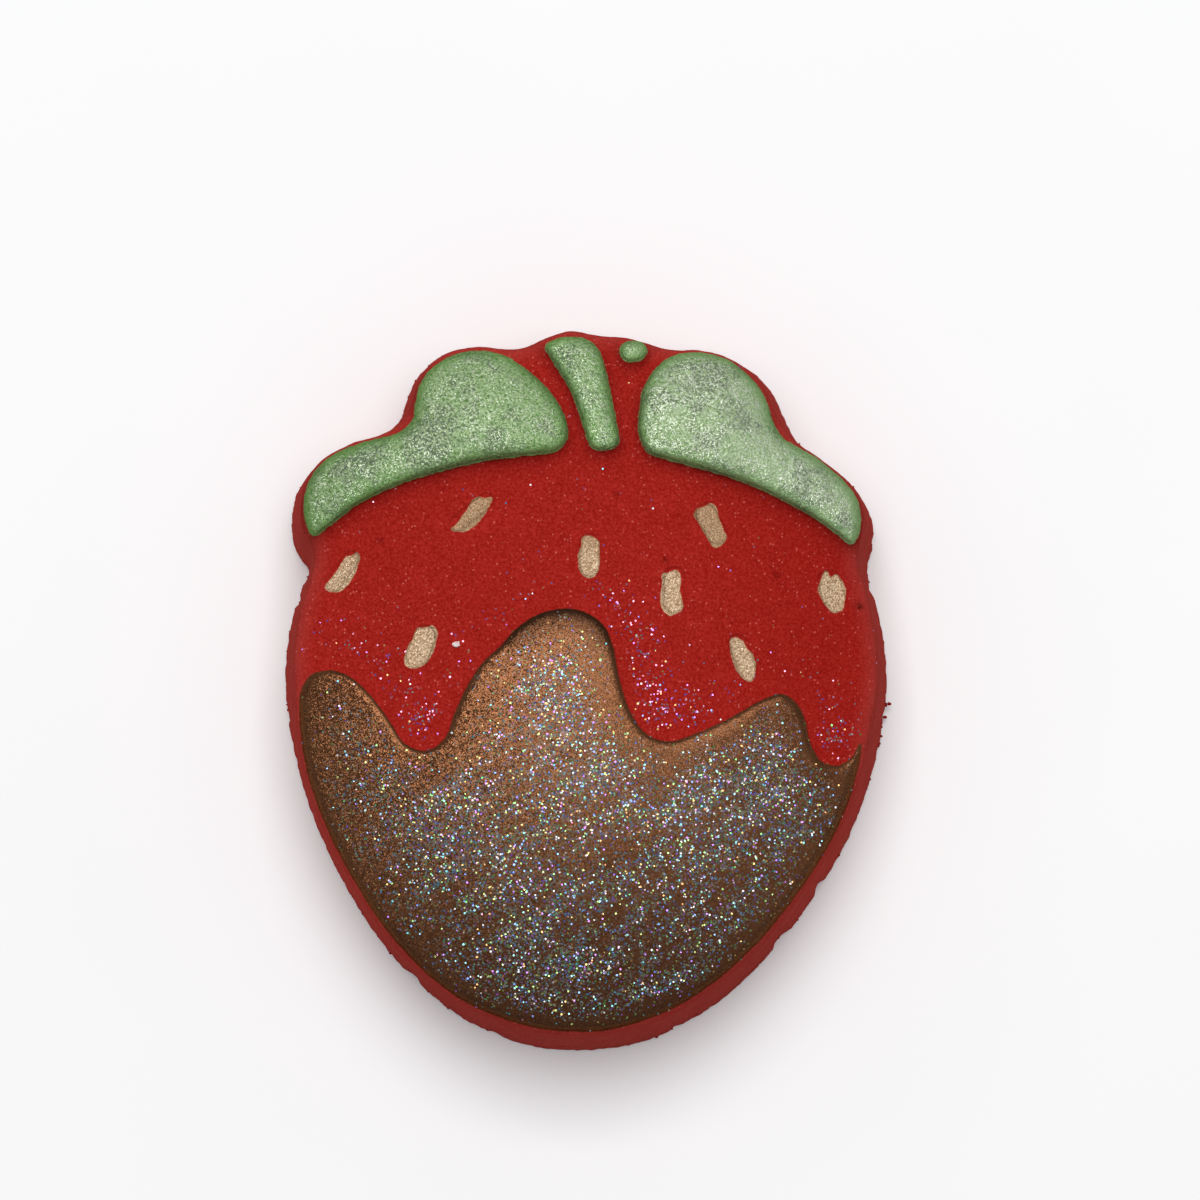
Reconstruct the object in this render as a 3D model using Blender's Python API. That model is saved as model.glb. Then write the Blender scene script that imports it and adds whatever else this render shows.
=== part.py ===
"""A pressed bath bomb in the shape of a dipped strawberry, lying on its flat back.

It is one pressed piece. Its walls lean inwards from a widest edge just above the
table, turn over a small round shoulder and meet a crowned top. The coating, with its
wavy upper edge, is a thin raised layer that follows the crown. Two leaves, a stem bar
and a dot stand on the top like cushions, and eight seeds are pressed in.

The scene is in metres, +Z up. X runs across the fruit and Y from its point to its
leaves. The origin is on the table, under the middle of the outline. The dimensions
below are in millimetres.
"""

import math

import bpy
import numpy as np
from mathutils.geometry import delaunay_2d_cdt

MM = 0.001
NAME = "pressed_strawberry"

# The powder: its colour, roughness and metallic value.
RED = (0.37, 0.018, 0.014, 1.0)
ROUGHNESS = 0.85
METALLIC = 0.0

# The section through the wall, from the table upwards.
FOOT_INSET = 0.8
RIM_HEIGHT = 0.8
WALL_DRAFT = 1.9
SHOULDER_RADIUS = 1.0
SHOULDER_MARGIN = 0.3
SHOULDER_SMOOTHING = 3

# The crowned top: its height in the middle, and how far it falls to an ellipse.
CROWN_HEIGHT = 24.0
CROWN_FALL = 5.0
CROWN_HALF_WIDTH = 30.0
CROWN_HALF_LENGTH = 36.5

# The cushions: the step at their edge, how far its rounded slope reaches inwards, and
# how far they swell up from there, as a share of their half width.
LEAF_STEP = 0.7
BAR_STEP = 0.55
STEP_SLOPE = 0.5
LEAF_SWELL = 0.27
BAR_SWELL = 0.32

# How high the coating stands and how deep the seeds are pressed in, and how far the
# rounded slope at their edges reaches inwards. The slope is wider round the hilltop.
COATING_HEIGHT = 0.55
COATING_SLOPE = 0.85
HILLTOP = (-2.0, 7.0)
HILLTOP_SLOPE = 2.1
HILLTOP_REACH = 4.5
SEED_DEPTH = 0.35
SEED_SLOPE = 0.3

# The spacing of the mesh's points along each line and between the lines.
RIM_SPACING = 1.0
COATING_SPACING = 1.0
LEAF_SPACING = 0.9
BAR_SPACING = 0.8
SEED_SPACING = 0.8
FILL_SPACING = 1.65
FILL_GAP = 0.9
LEAST_GAP = 0.17

# How far inside the outlines and the shoulder the rings of points run, and the share
# of that distance a ring keeps from every part of its outline.
COATING_RINGS = (0.18, 0.5, 1.2)
CUSHION_RINGS = (0.18, 0.5, 1.2)
SEED_RINGS = (SEED_SLOPE,)
SHOULDER_RINGS = (0.2, 0.5, 1.0)
RING_SHARE = 0.9

# Two points nearer than this are one, and a point this near a line is on it.
SAME_POINT = 0.0001
ON_LINE = 0.01

# The film is solved when its error has fallen to this share, and edges this sharp show.
FILM_ERROR = 1e-12
SHARP_ANGLE = 40.0

# The widest edge, anticlockwise from the lobe above the stem bar. It follows the
# leaves round the top and ends in one egg-shaped sweep below them.
RIM = (
    (-1.6, 37.9), (-4.4, 37.2), (-7.2, 36.0), (-11.2, 36.3), (-15.3, 35.4),
    (-17.7, 33.4), (-19.1, 30.6), (-19.8, 28.5), (-21.2, 27.2), (-24.8, 25.9),
    (-28.4, 23.8), (-30.6, 20.9), (-31.2, 17.8), (-30.9, 15.0), (-29.8, 12.9),
    (-30.1, 10.8), (-31.0, 8.0), (-31.7, 4.0), (-31.8, 0.5), (-31.4, -3.9),
    (-29.1, -12.7), (-25.1, -21.3), (-19.9, -28.7), (-13.4, -34.4), (-6.1, -37.5),
    (0.2, -38.0), (6.7, -36.9), (14.0, -32.9), (20.3, -26.8), (26.0, -18.8),
    (29.4, -11.5), (31.2, -4.5), (31.8, 0.5), (31.6, 4.5), (30.5, 9.8),
    (29.8, 12.4), (30.3, 15.2), (30.4, 17.6), (28.4, 21.4), (25.4, 23.8),
    (22.5, 26.1), (21.1, 28.6), (20.0, 31.1), (18.0, 33.4), (15.1, 35.0),
    (12.0, 35.8), (8.7, 36.0), (4.8, 37.1), (1.5, 37.4),
)

# The coating, anticlockwise from its left corner: down round the point of the fruit,
# up to the right corner and back along the three hills and three drips.
COATING = (
    (-29.3, -3.0), (-28.7, -8.5), (-26.6, -14.8), (-23.0, -21.6), (-18.7, -27.5),
    (-13.2, -32.3), (-7.1, -35.0), (-1.3, -35.9), (4.2, -35.3), (10.4, -32.7),
    (16.2, -28.2), (21.1, -22.5), (24.8, -16.9), (27.3, -11.2), (28.1, -6.5),
    (27.2, -7.8), (25.8, -8.7), (24.2, -8.4), (23.1, -6.8), (22.4, -4.0),
    (21.5, -2.4), (20.0, -1.5), (18.0, -2.1), (15.0, -3.8), (11.4, -5.5),
    (8.5, -6.4), (6.4, -5.8), (4.7, -3.6), (3.6, -0.4), (2.9, 3.0),
    (2.0, 5.2), (0.2, 6.6), (-1.9, 7.1), (-4.6, 6.6), (-6.8, 5.3),
    (-8.8, 3.2), (-10.6, 1.5), (-12.1, -0.8), (-13.4, -3.6), (-14.4, -6.1),
    (-16.2, -7.3), (-18.3, -6.6), (-19.8, -4.4), (-21.9, -1.6), (-24.0, 0.3),
    (-26.1, 1.0), (-28.0, 0.5), (-29.1, -1.1),
)

# The left leaf, anticlockwise from the tip of its arm.
LEFT_LEAF = (
    (-27.9, 14.8), (-26.1, 15.9), (-23.4, 17.9), (-18.9, 20.0), (-14.9, 21.2),
    (-10.7, 22.2), (-5.8, 22.8), (-3.1, 23.2), (-1.9, 24.4), (-1.9, 26.2),
    (-3.1, 28.7), (-5.1, 31.0), (-8.3, 33.3), (-11.0, 33.9), (-13.8, 33.4),
    (-16.0, 32.0), (-17.1, 30.3), (-17.5, 28.5), (-17.8, 26.6), (-19.2, 25.4),
    (-23.2, 24.4), (-25.9, 23.3), (-27.6, 21.9), (-28.7, 20.0), (-29.0, 17.8),
    (-28.6, 15.8),
)

# The right leaf, anticlockwise from its inner lower corner.
RIGHT_LEAF = (
    (6.2, 23.2), (8.2, 22.4), (11.1, 21.6), (14.3, 20.7), (17.4, 19.6),
    (20.7, 18.0), (23.6, 16.4), (25.7, 14.9), (27.3, 13.9), (28.1, 15.3),
    (28.2, 17.2), (27.7, 19.0), (26.3, 20.7), (23.9, 22.7), (21.7, 24.0),
    (20.1, 25.0), (19.2, 26.6), (18.7, 28.3), (17.9, 30.0), (16.5, 31.6),
    (14.8, 32.9), (12.8, 33.6), (10.5, 33.7), (8.5, 33.1), (7.0, 31.7),
    (5.9, 29.9), (5.5, 27.7), (5.4, 25.2),
)

# The stem bar, anticlockwise from its lower left corner.
BAR = (
    (0.6, 23.6), (2.2, 23.3), (3.4, 24.0), (3.2, 26.0), (2.7, 28.6),
    (2.0, 32.0), (1.2, 34.1), (0.1, 35.0), (-1.4, 35.3), (-3.0, 35.1),
    (-4.2, 34.3), (-3.3, 32.5), (-1.9, 30.2), (-0.8, 27.6), (-0.2, 25.5),
)

# The dot beside the stem: centre, length, width and lean, as for a seed.
DOT = (4.9, 33.8, 2.9, 2.3, 80.0)

# The seeds: centre, length, width and lean from +Y, in degrees towards +X.
SEEDS = (
    (-11.6, 17.0, 5.5, 1.8, 51.0),
    (12.8, 15.8, 4.7, 2.3, -30.0),
    (0.4, 12.5, 4.6, 2.2, 0.0),
    (9.0, 9.0, 4.9, 2.3, 0.0),
    (25.2, 9.0, 4.7, 2.5, -17.0),
    (-24.9, 11.1, 4.9, 1.8, 36.0),
    (-16.8, 3.2, 4.7, 2.5, 20.0),
    (16.0, 2.1, 5.1, 2.1, -20.0),
)


def clear_scene():
    for thing in list(bpy.data.objects):
        bpy.data.objects.remove(thing, do_unlink=True)


# --- Outlines -------------------------------------------------------------------


def even_loop(points, spacing):
    """The closed line through the points, cut again into even steps."""
    closed = np.vstack([points, points[:1]])
    steps = np.hypot(*np.diff(closed, axis=0).T)
    along = np.concatenate([[0.0], np.cumsum(steps)])
    count = round(along[-1] / spacing)
    wanted = np.arange(count) * along[-1] / count
    return np.column_stack([np.interp(wanted, along, closed[:, axis]) for axis in (0, 1)])


def smooth_loop(corners, spacing, steps=12):
    """A closed centripetal Catmull-Rom curve through the corners, cut into even steps."""
    corners = np.array(corners, float)
    before, start, end, after = (np.roll(corners, shift, axis=0) for shift in (1, 0, -1, -2))
    knot_0 = np.zeros(len(corners))
    knot_1 = knot_0 + np.sqrt(np.hypot(*(start - before).T))
    knot_2 = knot_1 + np.sqrt(np.hypot(*(end - start).T))
    knot_3 = knot_2 + np.sqrt(np.hypot(*(after - end).T))

    def blend(low, high, low_knot, high_knot, knot):
        share = ((knot - low_knot) / (high_knot - low_knot))[:, None]
        return low * (1 - share) + high * share

    pieces = []
    for step in range(steps):
        knot = knot_1 + (knot_2 - knot_1) * step / steps
        first = blend(before, start, knot_0, knot_1, knot)
        second = blend(start, end, knot_1, knot_2, knot)
        third = blend(end, after, knot_2, knot_3, knot)
        early = blend(first, second, knot_0, knot_2, knot)
        late = blend(second, third, knot_1, knot_3, knot)
        pieces.append(blend(early, late, knot_1, knot_2, knot))
    curve = np.stack(pieces, axis=1).reshape(-1, 2)
    return even_loop(curve, spacing)


def capsule_loop(shape, spacing, steps=8):
    """The outline of a seed: a straight middle between two half circles."""
    centre_x, centre_y, length, width, lean = shape
    radius = width / 2
    turns = np.linspace(0, math.pi, steps + 1)
    cap = np.column_stack([np.cos(turns), np.sin(turns)]) * radius
    cap[:, 1] += length / 2 - radius
    x, y = even_loop(np.vstack([cap, -cap]), spacing).T
    angle = math.radians(lean)
    across = x * math.cos(angle) + y * math.sin(angle)
    along = y * math.cos(angle) - x * math.sin(angle)
    return np.column_stack([centre_x + across, centre_y + along])


def inset_loop(loop, inset):
    """The anticlockwise loop moved inwards, with as many points as before.

    The inset is one distance, or one for each point.
    """
    along = np.roll(loop, -1, axis=0) - np.roll(loop, 1, axis=0)
    along /= np.hypot(*along.T)[:, None]
    inwards = np.column_stack([-along[:, 1], along[:, 0]])
    return loop + inwards * np.reshape(inset, (-1, 1))


def distance_to(points, loop):
    """The distance from each point to the nearest place on the closed loop."""
    ends = np.roll(loop, -1, axis=0)
    runs = ends - loop
    squares = (runs**2).sum(axis=1)
    offsets = points[:, None, :] - loop[None, :, :]
    share = np.clip((offsets * runs).sum(axis=2) / squares, 0, 1)
    gaps = offsets - share[:, :, None] * runs
    return np.sqrt((gaps**2).sum(axis=2).min(axis=1))


def is_inside(points, loop):
    """True for each point that lies inside the closed loop."""
    x, y = points[:, :1], points[:, 1:]
    ends = np.roll(loop, -1, axis=0)
    spans = (loop[:, 1] > y) != (ends[:, 1] > y)
    rise = ends[:, 1] - loop[:, 1]
    rise = np.where(rise == 0, 1, rise)
    crossing = loop[:, 0] + (y - loop[:, 1]) * (ends[:, 0] - loop[:, 0]) / rise
    return (spans & (x < crossing)).sum(axis=1) % 2 == 1


def shoulder_loop(rim, raised):
    """The line where the wall ends: it keeps a margin outside every raised shape."""
    room = np.min([distance_to(rim, loop) for loop in raised], axis=0)
    inset = np.minimum(WALL_DRAFT, room - SHOULDER_MARGIN)
    for _ in range(SHOULDER_SMOOTHING):
        inset = (np.roll(inset, 1) + inset + np.roll(inset, -1)) / 3
    return inset_loop(rim, inset)


# --- Points and triangles of the top ---------------------------------------------


def rings_inside(loop, insets):
    """The loop's points moved inwards by each of the insets, where there is room."""
    found = []
    for inset in insets:
        ring = inset_loop(loop, inset)
        ring = ring[is_inside(ring, loop)]
        found.append(ring[distance_to(ring, loop) > RING_SHARE * inset])
    return np.vstack(found)


def grid_inside(loop):
    """Points of an equilateral grid over the space inside a loop."""
    low, high = loop.min(axis=0), loop.max(axis=0)
    rows = []
    for row, y in enumerate(np.arange(low[1], high[1], FILL_SPACING * math.sin(math.pi / 3))):
        x = np.arange(low[0] + FILL_SPACING / 2 * (row % 2), high[0], FILL_SPACING)
        rows.append(np.column_stack([x, np.full(len(x), y)]))
    grid = np.vstack(rows)
    return grid[is_inside(grid, loop)]


def add_apart(taken, wanted, gap):
    """The taken points, and the wanted ones that are at least a gap from each of them."""
    offsets = wanted[:, None, :] - taken[None, :, :]
    nearest = np.sqrt((offsets**2).sum(axis=2)).min(axis=1)
    return np.vstack([taken, wanted[nearest > gap]])


def triangulate(edge, lines, loose):
    """Triangles over the space inside the edge that follow every line.

    It gives the points, the triangles and the places of the edge's points.
    """
    loops = [edge, *lines]
    links = []
    start = 0
    for loop in loops:
        count = len(loop)
        links += [(start + i, start + (i + 1) % count) for i in range(count)]
        start += count
    wanted = np.vstack([*loops, loose]).tolist()
    result = delaunay_2d_cdt(wanted, links, [], 0, SAME_POINT)
    points = np.array([tuple(point) for point in result[0]])
    triangles = np.array(result[2])
    triangles = triangles[is_inside(points[triangles].mean(axis=1), edge)]
    place_of = {old: new for new, olds in enumerate(result[3]) for old in olds}
    return points, triangles, [place_of[i] for i in range(len(edge))]


# --- Heights ----------------------------------------------------------------------


def plain_height(points, edge):
    """The height of the crowned top, which turns down over the shoulder to the edge."""
    across = points[:, 0] / CROWN_HALF_WIDTH
    along = points[:, 1] / CROWN_HALF_LENGTH
    crown = CROWN_HEIGHT - CROWN_FALL * (across**2 + along**2)
    reach = 1 - np.clip(distance_to(points, edge) / SHOULDER_RADIUS, 0, 1)
    return crown - SHOULDER_RADIUS * (1 - np.sqrt(1 - reach**2))


def film_height(points, triangles, is_free):
    """A soap film blown up over the free points and held at zero by the others.

    It solves the film's equation on the triangles by conjugate gradients.
    """
    starts, ends, weights = [], [], []
    for a, b, apex in ((0, 1, 2), (1, 2, 0), (2, 0, 1)):
        to_a = points[triangles[:, a]] - points[triangles[:, apex]]
        to_b = points[triangles[:, b]] - points[triangles[:, apex]]
        twice_area = np.abs(to_a[:, 0] * to_b[:, 1] - to_a[:, 1] * to_b[:, 0])
        starts.append(triangles[:, a])
        ends.append(triangles[:, b])
        weights.append((to_a * to_b).sum(axis=1) / (2 * twice_area))
    starts, ends, weights = map(np.concatenate, (starts, ends, weights))
    count = len(points)
    own = np.bincount(starts, weights, count) + np.bincount(ends, weights, count)
    load = np.bincount(triangles.ravel(), np.repeat(twice_area / 6, 3), count)

    def pull(height):
        flow = np.bincount(starts, weights * height[ends], count)
        flow += np.bincount(ends, weights * height[starts], count)
        return np.where(is_free, own * height - flow, 0.0)

    height = np.zeros(count)
    rest = np.where(is_free, load, 0.0)
    search = rest.copy()
    error = rest @ rest
    target = error * FILM_ERROR
    while error > target:
        pulled = pull(search)
        step = error / (search @ pulled)
        height += step * search
        rest -= step * pulled
        error, error_before = rest @ rest, error
        search = rest + error / error_before * search
    return height


def cushion_height(points, triangles, loops, swell):
    """How far the shapes inside the loops stand up from the top around them."""
    is_free = np.zeros(len(points), bool)
    for loop in loops:
        is_free |= is_inside(points, loop) & (distance_to(points, loop) > ON_LINE)
    film = film_height(points, triangles, is_free)
    return 2 * swell * np.sqrt(np.maximum(film, 0))


def plateau_share(points, loop, slope):
    """Nought outside the loop, one well inside it and a quarter round over the slope."""
    short = 1 - np.clip(distance_to(points, loop) / slope, 0, 1)
    return np.where(is_inside(points, loop), np.sqrt(1 - short**2), 0)


# --- The solid --------------------------------------------------------------------


def coating_slope(points):
    """How far the coating's rounded slope reaches inwards, near each point."""
    gap = np.hypot(points[:, 0] - HILLTOP[0], points[:, 1] - HILLTOP[1])
    near = np.exp(-((gap / HILLTOP_REACH) ** 2))
    return COATING_SLOPE + (HILLTOP_SLOPE - COATING_SLOPE) * near


def top_surface(rim):
    """The vertices and triangles of the top, and the places of its edge's vertices."""
    coating = smooth_loop(COATING, COATING_SPACING)
    leaves = [smooth_loop(leaf, LEAF_SPACING) for leaf in (LEFT_LEAF, RIGHT_LEAF)]
    bar = smooth_loop(BAR, BAR_SPACING)
    dot = capsule_loop(DOT, SEED_SPACING)
    seeds = [capsule_loop(seed, SEED_SPACING) for seed in SEEDS]
    lines = [coating, *leaves, bar, dot, *seeds]
    edge = shoulder_loop(rim, [coating, *leaves, bar])

    groups = [rings_inside(edge, SHOULDER_RINGS)]
    groups += [rings_inside(coating, COATING_RINGS)]
    groups += [rings_inside(loop, CUSHION_RINGS) for loop in (*leaves, bar)]
    groups += [rings_inside(loop, SEED_RINGS) for loop in (dot, *seeds)]
    placed = np.vstack([edge, *lines])
    on_lines = len(placed)
    for group in groups:
        placed = add_apart(placed, group, LEAST_GAP)
    placed = add_apart(placed, grid_inside(edge), FILL_GAP)

    points, triangles, edge_places = triangulate(edge, lines, placed[on_lines:])
    height = plain_height(points, edge)
    height += cushion_height(points, triangles, leaves, LEAF_SWELL)
    height += cushion_height(points, triangles, [bar, dot], BAR_SWELL)
    for loop, step in zip([*leaves, bar, dot], [LEAF_STEP, LEAF_STEP, BAR_STEP, BAR_STEP]):
        height += step * plateau_share(points, loop, STEP_SLOPE)
    height += COATING_HEIGHT * plateau_share(points, coating, coating_slope(points))
    for seed in seeds:
        height -= SEED_DEPTH * plateau_share(points, seed, SEED_SLOPE)
    return np.column_stack([points, height]), triangles, edge_places


def strawberry_mesh():
    """The closed surface: the top, the wall, the bevel under the rim and the flat back."""
    rim = smooth_loop(RIM, RIM_SPACING)
    count = len(rim)
    top, triangles, edge_places = top_surface(rim)
    rim_ring = np.column_stack([rim, np.full(count, RIM_HEIGHT)])
    foot_ring = np.column_stack([inset_loop(rim, FOOT_INSET), np.zeros(count)])
    vertices = np.vstack([top, rim_ring, foot_ring])

    rim_places = [len(top) + i for i in range(count)]
    foot_places = [len(top) + count + i for i in range(count)]
    faces = [tuple(triangle) for triangle in triangles.tolist()]
    for lower, upper in ((foot_places, rim_places), (rim_places, edge_places)):
        for i in range(count):
            j = (i + 1) % count
            faces.append((lower[i], lower[j], upper[j], upper[i]))
    faces.append(tuple(reversed(foot_places)))
    return vertices, faces


def pressed_powder():
    material = bpy.data.materials.new("pressed_powder")
    material.use_nodes = True
    material.diffuse_color = RED
    shader = material.node_tree.nodes["Principled BSDF"]
    shader.inputs["Base Color"].default_value = RED
    shader.inputs["Roughness"].default_value = ROUGHNESS
    shader.inputs["Metallic"].default_value = METALLIC
    return material


def build():
    clear_scene()
    vertices, faces = strawberry_mesh()
    low, high = vertices.min(axis=0), vertices.max(axis=0)
    vertices -= ((low[0] + high[0]) / 2, (low[1] + high[1]) / 2, low[2])
    mesh = bpy.data.meshes.new(NAME)
    mesh.from_pydata((vertices * MM).tolist(), [], faces)
    mesh.materials.append(pressed_powder())
    mesh.shade_smooth()
    mesh.set_sharp_from_angle(angle=math.radians(SHARP_ANGLE))
    strawberry = bpy.data.objects.new(NAME, mesh)
    bpy.context.scene.collection.objects.link(strawberry)


build()
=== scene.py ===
"""A pressed bath bomb in the shape of a dipped strawberry, lying on its flat back.

One mesh is the pressed powder with everything that is painted on it. Its relief is real:
the crowned top, the raised coating, the cushioned leaves, the sunk seeds, the ragged rim
and the grain. Three kinds of loose things lie on it, each a piece of its own or a set of
pieces by colour: glitter, crumbs and a grain of salt.

The shapes are laid out in millimetres and turned into metres at the end.
"""

import math

import bmesh
import bpy
import numpy as np
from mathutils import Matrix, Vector, noise
from mathutils.geometry import delaunay_2d_cdt


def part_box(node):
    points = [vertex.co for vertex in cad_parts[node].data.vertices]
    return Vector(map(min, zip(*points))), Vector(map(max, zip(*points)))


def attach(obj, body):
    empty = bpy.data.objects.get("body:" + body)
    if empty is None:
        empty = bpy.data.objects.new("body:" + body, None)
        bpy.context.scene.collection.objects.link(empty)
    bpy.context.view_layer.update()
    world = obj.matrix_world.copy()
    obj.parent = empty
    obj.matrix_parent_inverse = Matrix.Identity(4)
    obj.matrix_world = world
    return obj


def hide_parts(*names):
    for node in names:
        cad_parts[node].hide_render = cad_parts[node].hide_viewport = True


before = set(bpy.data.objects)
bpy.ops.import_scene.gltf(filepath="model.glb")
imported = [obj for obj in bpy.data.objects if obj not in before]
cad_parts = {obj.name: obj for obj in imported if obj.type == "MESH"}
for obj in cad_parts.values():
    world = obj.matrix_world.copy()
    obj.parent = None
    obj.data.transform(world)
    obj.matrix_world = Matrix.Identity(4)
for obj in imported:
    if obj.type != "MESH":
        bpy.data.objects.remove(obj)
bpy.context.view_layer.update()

MM = 0.001
NODE = "pressed_strawberry"
SEED_OF_CHANCE = 20

LOW, HIGH = (np.array(corner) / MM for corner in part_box(NODE))

# --- Measures in millimetres ------------------------------------------------------

# The section through the wall, from the table upwards.
FOOT_INSET = 0.8
RIM_HEIGHT = 0.8
WALL_DRAFT = 1.9
SHOULDER_RADIUS = 1.0
SHOULDER_MARGIN = 0.3
SHOULDER_SMOOTHING = 0.05

# The crowned top: how far it falls from its middle to an ellipse.
CROWN_FALL = 5.0
CROWN_HALF_WIDTH = 30.0
CROWN_HALF_LENGTH = 36.5
CROWN_HEIGHT = 24.0

# The raised and sunk shapes, as in the solid.
LEAF_STEP = 0.7
BAR_STEP = 0.55
STEP_SLOPE = 0.5
LEAF_SWELL = 0.27
BAR_SWELL = 0.32
COATING_HEIGHT = 0.55
COATING_SLOPE = 0.85
BROAD_SLOPES = ((-2.0, 7.0, 2.1, 4.5), (12.5, -5.2, 1.5, 5.0))
SEED_DEPTH = 0.35
SEED_SLOPE = 0.3

# The spacing of the mesh along the outlines, over the open top and up the wall.
LINE_SPACING = 0.3
SEED_SPACING = 0.2
FILL_SPACING = 0.36
FILL_GAP = 0.24
LEAST_GAP = 0.07
RINGS = (-0.16, 0.1, 0.25, 0.45, 0.7, 1.0)
SEED_RINGS = (-0.14, 0.12, 0.3)
SHOULDER_RINGS = (0.06, 0.16, 0.3, 0.48, 0.7, 1.0)
WALL_ROWS = 44
RING_SHARE = 0.9
SAME_POINT = 0.0001
ON_LINE = 0.01
FILM_ERROR = 1e-10
CHUNK = 1500

# The rows from the foot to the rim: height and how far inside the rim. The rim is worn
# in by small ragged notches and by wider chips.
FOOT_ROWS = ((0.0, FOOT_INSET), (0.12, 0.42), (0.35, 0.14), (0.8, 0.0))
RAGGED_SIZE = 0.8
RAGGED_DEPTH = 0.13

# The chips out of the rim: place, depth and half width.
CHIPS = (
    (24.6, -20.8, 0.35, 0.7), (20.6, -26.4, 0.3, 1.1), (-18.2, -30.4, 0.3, 0.9),
    (-29.9, 12.2, 0.4, 0.9), (-30.6, 9.4, 0.25, 0.6), (30.3, 10.6, 0.25, 0.7),
    (-9.6, -36.1, 0.25, 0.8), (9.5, -35.6, 0.2, 0.7), (-31.4, -3.0, 0.2, 0.5),
)

# The grain of the powder: soft lumps, fine grains, and crumbling towards the rim.
LUMP_SIZE = 2.4
LUMP_LIFT = 0.02
GRAIN_SIZE = 0.75
GRAIN_LIFT = 0.02
WALL_GRAIN = 2.4
CRUMBLY_HEIGHT = 3.0
CRUMBLY_SIZE = 0.75
CRUMBLY_DEPTH = 0.16
PAINT_GRAIN = 0.5

# The powder is painted darker in the crease at the foot of the leaves and the stem: painted shade.
NUDGE = 0.1
SOUTH_SHADE = 0.58
SOUTH_SHADE_REACH = 0.95
SIDE_SHADE = 0.42
SIDE_SHADE_REACH = 0.6

# The wrinkles that the brush left in the thick paint of the leaves.
WRINKLE_SIZE = 0.95
WRINKLE_LIFT = 0.06
FAR_OUTSIDE = -5.0

# The wall is paler and duller than the top: dust, and a painted sheen where the wall is seen
# at a slant. Both begin on the edge of the top and are full some way below the shoulder.
EDGE_DUST_AND_SHEEN = 0.7
DUST_AND_SHEEN_WIDTH = 2.2
DUST_AND_SHEEN_REACH = 4.0

# Small pits in the bare powder: place, depth and radius.
PITS = (
    (28.1, 7.5, 0.25, 0.35), (8.1, 12.0, 0.15, 0.3), (-8.5, 22.0, 0.12, 0.3),
    (-21.0, 14.2, 0.12, 0.3), (19.5, 10.5, 0.14, 0.25), (3.2, 18.8, 0.12, 0.3),
)

# The widest edge, anticlockwise from the lobe above the stem bar.
RIM = (
    (-1.6, 37.9), (-4.4, 37.2), (-7.2, 36.0), (-11.2, 36.3), (-15.3, 35.4),
    (-17.7, 33.4), (-19.1, 30.6), (-19.8, 28.5), (-21.2, 27.2), (-24.8, 25.9),
    (-28.4, 23.8), (-30.6, 20.9), (-31.2, 17.8), (-30.9, 15.0), (-29.8, 12.9),
    (-30.1, 10.8), (-31.0, 8.0), (-31.7, 4.0), (-31.8, 0.5), (-31.4, -3.9),
    (-29.1, -12.7), (-25.1, -21.3), (-19.9, -28.7), (-13.4, -34.4), (-6.1, -37.5),
    (0.2, -38.0), (6.7, -36.9), (14.0, -32.9), (20.3, -26.8), (26.0, -18.8),
    (29.4, -11.5), (31.2, -4.5), (31.8, 0.5), (31.6, 4.5), (30.5, 9.8),
    (29.8, 12.4), (30.3, 15.2), (30.4, 17.6), (28.4, 21.4), (25.4, 23.8),
    (22.5, 26.1), (21.1, 28.6), (20.0, 31.1), (18.0, 33.4), (15.1, 35.0),
    (12.0, 35.8), (8.7, 36.0), (4.8, 37.1), (1.5, 37.4),
)

# The coating, anticlockwise from its left corner.
COATING = (
    (-29.3, -3.0), (-28.7, -8.5), (-26.6, -14.8), (-23.0, -21.6), (-18.7, -27.5),
    (-13.2, -32.3), (-7.1, -35.0), (-1.3, -35.9), (4.2, -35.3), (10.4, -32.7),
    (16.2, -28.2), (21.1, -22.5), (24.8, -16.9), (27.3, -11.2), (28.1, -6.5),
    (27.2, -7.8), (25.8, -8.7), (24.2, -8.4), (23.1, -6.8), (22.4, -4.0),
    (21.5, -2.4), (20.0, -1.5), (18.0, -2.1), (15.0, -3.8), (11.4, -5.5),
    (8.5, -6.4), (6.4, -5.8), (4.7, -3.6), (3.6, -0.4), (2.9, 3.0),
    (2.0, 5.2), (0.2, 6.6), (-1.9, 7.1), (-4.6, 6.6), (-6.8, 5.3),
    (-8.8, 3.2), (-10.6, 1.5), (-12.1, -0.8), (-13.4, -3.6), (-14.4, -6.1),
    (-16.2, -7.3), (-18.3, -6.6), (-19.8, -4.4), (-21.9, -1.6), (-24.0, 0.3),
    (-26.1, 1.0), (-28.0, 0.5), (-29.1, -1.1),
)

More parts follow.
